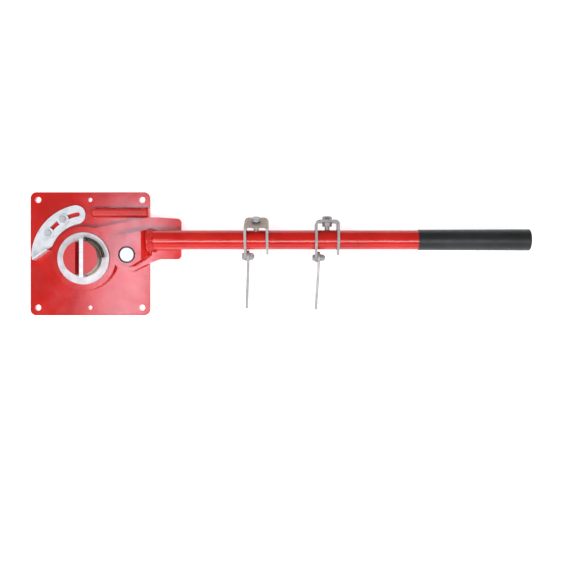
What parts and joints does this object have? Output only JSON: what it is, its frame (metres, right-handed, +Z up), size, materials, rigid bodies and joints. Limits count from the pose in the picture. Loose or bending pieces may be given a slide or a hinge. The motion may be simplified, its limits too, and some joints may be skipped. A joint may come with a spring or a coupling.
{
  "type": "hand lever stirrup bender",
  "caption": "Bench-mounted hand bender for reinforcing bar: square base, slotted pivot post, sprung lever with roller pin, angle gauge and sliding length stops on a tube handle.",
  "frame": {"origin": "pivot axis of the lever at the underside of the base plate", "axes": "+X along the handle at rest, +Z up out of the bench, Y along the bar to be bent"},
  "size_m": [1.0345, 0.258, 0.0874],
  "materials": {
    "red_paint": "gloss red enamel",
    "bare_steel": "turned bare steel",
    "zinc": "bright zinc plating",
    "bronze": "plain bearing bronze",
    "spring_steel": "oiled spring wire",
    "black_rubber": "smooth satin rubber"
  },
  "bodies": {
    "base": {"base_plate": "red_paint", "pivot_post": "bare_steel", "slot_web": "bare_steel", "bearing_bush": "bronze", "thrust_washer": "bronze", "rest_bar": "red_paint", "rest_bar_weld": "red_paint", "gauge_washers": "zinc", "gauge_bolts": "zinc", "return_spring": "spring_steel"},
    "gauge": {"angle_gauge": "zinc"},
    "lever": {"lever_head": "red_paint", "spring_cover": "zinc", "cover_rivet": "zinc", "pin_strap": "red_paint", "strap_weld": "red_paint", "bending_pin": "bare_steel", "handle_tube": "red_paint", "tube_end_weld": "red_paint", "tube_side_welds": "red_paint", "handle_grip": "black_rubber"},
    "roller": {"bending_roller": "bare_steel"},
    "stop_a": {"stop_a_bracket": "zinc", "stop_a_screw_nut": "zinc", "stop_a_hinge_bolt": "zinc", "stop_a_hinge_washer": "zinc", "stop_a_hinge_nut": "zinc"},
    "stop_a_screw": {"stop_a_lock_screw": "zinc"},
    "stop_a_arm": {"stop_a_finger": "zinc"},
    "stop_b": {"stop_b_bracket": "zinc", "stop_b_screw_nut": "zinc", "stop_b_hinge_bolt": "zinc", "stop_b_hinge_washer": "zinc", "stop_b_hinge_nut": "zinc"},
    "stop_b_screw": {"stop_b_lock_screw": "zinc"},
    "stop_b_arm": {"stop_b_finger": "zinc"}
  },
  "joints": [
    {"name": "lever_swing", "type": "hinge", "parent": "base", "child": "lever", "pos_m": [0, 0, 0.0203], "axis": [0, 0, 1], "range_deg": [-162, 0], "stiffness_Nm_per_rad": 0.8, "springref_deg": 44.98, "deforming": ["return_spring"]},
    {"name": "gauge_turn", "type": "hinge", "parent": "base", "child": "gauge", "pos_m": [0, 0, 0.0128], "axis": [0, 0, 1], "range_deg": [0, 19]},
    {"name": "roller_spin", "type": "hinge", "parent": "lever", "child": "roller", "pos_m": [0.0935, 0.007, 0.037], "axis": [0, 0, 1], "continuous": true},
    {"name": "stop_a_slide", "type": "slide", "parent": "lever", "child": "stop_a", "axis": [1, 0, 0], "range_m": [-0.12, 0.085]},
    {"name": "stop_a_screw_travel", "type": "slide", "parent": "stop_a", "child": "stop_a_screw", "axis": [0, 0.9135, 0.4067], "range_m": [0, 0.008]},
    {"name": "stop_a_finger_swing", "type": "hinge", "parent": "stop_a", "child": "stop_a_arm", "pos_m": [0.3413, 0.00386, 0.03345], "axis": [1, 0, 0], "range_deg": [-90, 10]},
    {"name": "stop_b_slide", "type": "slide", "parent": "lever", "child": "stop_b", "axis": [1, 0, 0], "range_m": [-0.085, 0.155]},
    {"name": "stop_b_screw_travel", "type": "slide", "parent": "stop_b", "child": "stop_b_screw", "axis": [0, 1, 0], "range_m": [0, 0.008]},
    {"name": "stop_b_finger_swing", "type": "hinge", "parent": "stop_b", "child": "stop_b_arm", "pos_m": [0.4863, 0.0007, 0.0483], "axis": [1, 0, 0], "range_deg": [-102, 8]}
  ]
}
